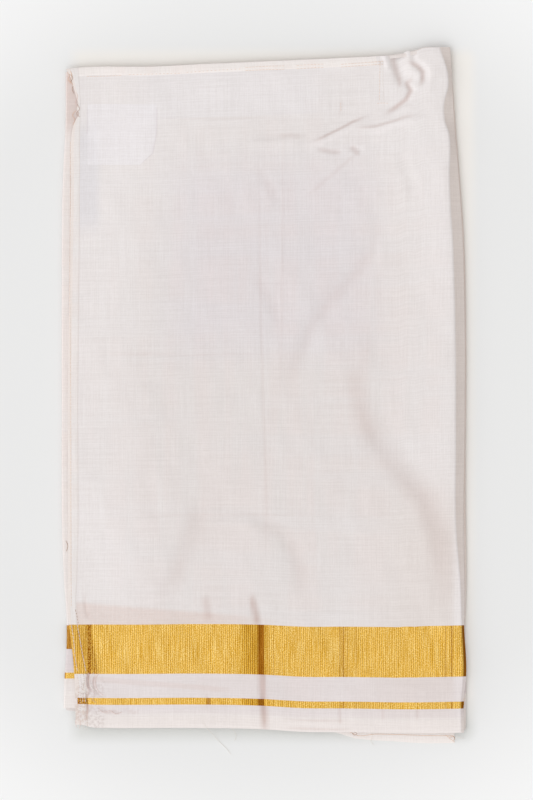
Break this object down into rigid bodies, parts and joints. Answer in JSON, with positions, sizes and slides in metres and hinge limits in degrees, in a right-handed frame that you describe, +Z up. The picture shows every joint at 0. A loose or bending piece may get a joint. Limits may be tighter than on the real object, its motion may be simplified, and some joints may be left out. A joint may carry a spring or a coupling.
{
  "type": "folded dhoti cloth",
  "caption": "Silk dhoti with woven gold borders, folded into a flat layered stack that lies on a shelf or table.",
  "frame": {"origin": "centre of the folded stack's footprint, at the surface it lies on", "axes": "+X from the stitched free end towards the rolled fold, +Y away from the gold border towards the doubled edge, +Z up from the surface"},
  "size_m": [0.3645, 0.6272, 0.012],
  "materials": {
    "silk": "thin slubbed silk with a soft satin sheen",
    "silk_hem": "turned and stitched silk, denser than the single cloth",
    "zari": "gold metallic thread, ribbed weave",
    "label_tape": "plain woven tape, blank"
  },
  "bodies": {
    "root": {"top_ply": "silk", "left_fold": "silk", "right_fold": "silk", "bottom_ply": "silk", "inner_stack": "silk", "end_hem": "silk_hem", "edge_hem": "silk_hem", "border_band": "zari", "border_stripe": "zari", "left_band": "zari", "left_stripe": "zari", "label": "label_tape"}
  },
  "joints": []
}
